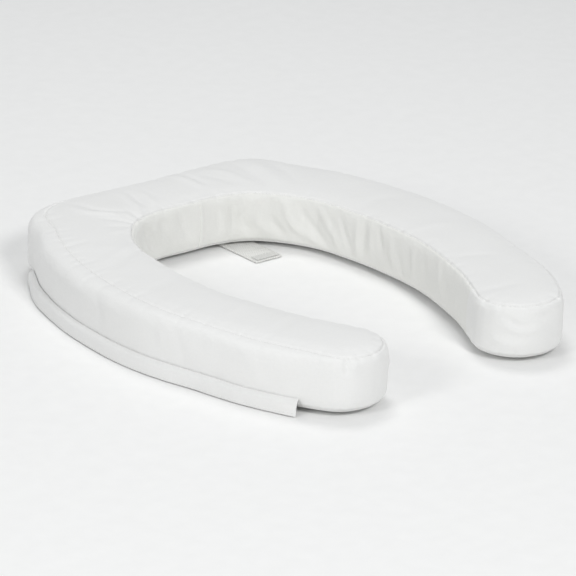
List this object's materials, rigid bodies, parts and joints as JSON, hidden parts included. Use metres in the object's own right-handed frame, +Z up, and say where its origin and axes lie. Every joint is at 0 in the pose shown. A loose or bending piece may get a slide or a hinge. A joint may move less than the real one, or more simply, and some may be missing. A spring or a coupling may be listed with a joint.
{
  "type": "raised toilet seat cushion",
  "caption": "Soft horseshoe cushion that raises a toilet seat: foam core in a sewn cover with an open front, a hook-and-loop closure flap and a fold-down fastening strap.",
  "frame": {"origin": "on the surface it stands on, at the middle of its whole box; the cushion's own middle line lies 2.6 mm towards +X of it, because the closure flap widens the -X side only", "axes": "+Z up, out of the seating face; +Y towards the closed rear band; the open end of the horseshoe faces -Y"},
  "size_m": [0.3712, 0.4098, 0.0531],
  "materials": {
    "foam": null,
    "cover": "plain woven white polyester-cotton, matte",
    "cover_inner": "plain woven white polyester-cotton, matte, seen in soft shade",
    "seam": "folded seam allowance with lock stitching",
    "tape": "white hook-and-loop tape",
    "webbing": "white narrow polyester webbing"
  },
  "bodies": {
    "cushion": {"foam_core": "foam", "cover_top": "cover", "cover_base": "cover", "wall_outer_rear": "cover", "wall_outer_right": "cover", "wall_outer_left": "cover", "tip_right": "cover", "tip_left": "cover", "wall_inner_right": "cover_inner", "wall_inner_left": "cover_inner", "seam_top_outer": "seam", "seam_top_inner": "seam", "seam_base_outer": "seam", "seam_base_inner": "seam", "seam_inner_rear": "seam", "closure_hook_tape": "tape", "closure_loop_tape": "tape", "closure_flap": "cover", "strap_anchor": "cover", "strap_loop_patch": "tape"},
    "strap": {"strap_web": "webbing"},
    "strap_tail": {"strap_tail": "webbing", "strap_hook_tape": "tape"}
  },
  "joints": [
    {"name": "strap_root_fold", "type": "hinge", "parent": "cushion", "child": "strap", "pos_m": [0.05608, 0.19306, 0.0013], "axis": [1, 0, 0], "range_deg": [0, 110]},
    {"name": "strap_tail_fold", "type": "hinge", "parent": "strap", "child": "strap_tail", "pos_m": [0.05608, 0.10241, 0.0013], "axis": [1, 0, 0], "range_deg": [-95, 60]}
  ]
}
